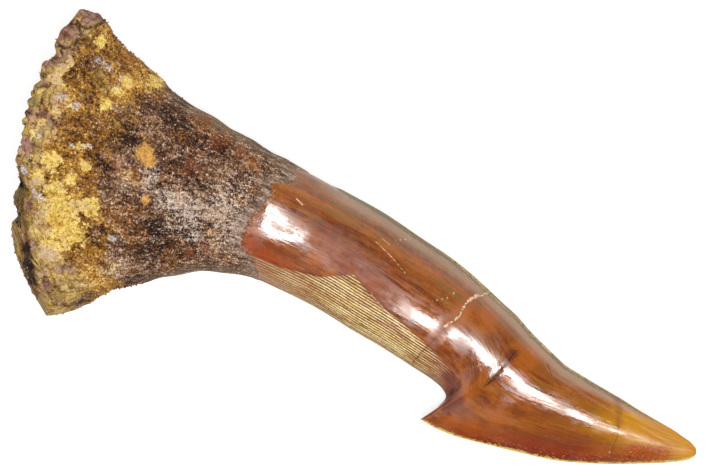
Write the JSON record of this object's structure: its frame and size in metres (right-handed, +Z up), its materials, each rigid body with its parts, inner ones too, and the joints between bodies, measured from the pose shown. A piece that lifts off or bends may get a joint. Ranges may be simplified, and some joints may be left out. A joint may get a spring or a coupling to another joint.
{
  "type": "fossil sawfish rostral tooth",
  "caption": "Fossil rostral tooth of a sawfish, lying on its side: flared, folded root with a sandy ochre crust, glossy brown enamel blade with a striated back edge and a hooked barb.",
  "frame": {"origin": "on the surface the tooth lies on, under the middle of its box", "axes": "+X from the root's base to the tip, +Y to the front edge, away from the barb, +Z up, out of the side that shows"},
  "size_m": [0.0606, 0.024, 0.012],
  "materials": {
    "fossil_tooth": "glossy reddish-brown enamel on the blade, rough ochre and dark brown sandy crust on the root"
  },
  "bodies": {
    "root": {"rostral_tooth": "fossil_tooth"}
  },
  "joints": []
}
